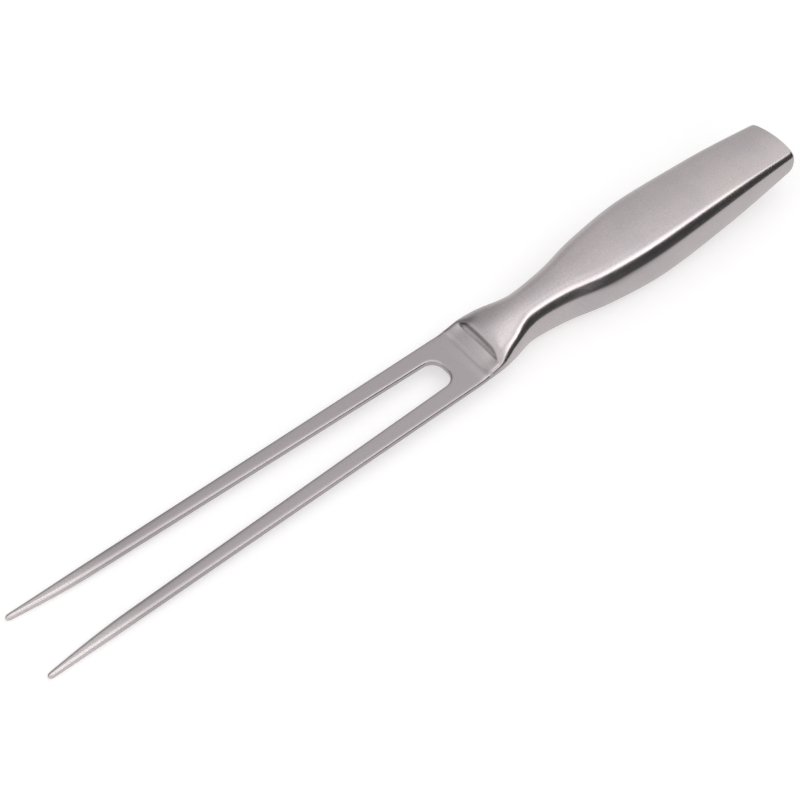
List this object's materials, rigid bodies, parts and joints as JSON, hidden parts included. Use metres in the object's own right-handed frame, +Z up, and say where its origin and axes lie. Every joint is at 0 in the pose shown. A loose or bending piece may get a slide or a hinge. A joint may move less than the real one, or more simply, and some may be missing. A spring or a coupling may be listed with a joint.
{
  "type": "carving fork",
  "caption": "One-piece steel carving fork: long, gently spreading tines, a flat palm with a ground crease and a full, sculpted handle, lying as on a table.",
  "frame": {"origin": "middle of the fork's bounding box in X and Y, on the table that it lies on", "axes": "+X from the tine tips to the butt of the handle, +Y across the fork, +Z up from the table"},
  "size_m": [0.2998, 0.0264, 0.0215],
  "materials": {
    "satin_steel": "fine satin, evenly brushed"
  },
  "bodies": {
    "root": {"carving_fork": "satin_steel"}
  },
  "joints": []
}
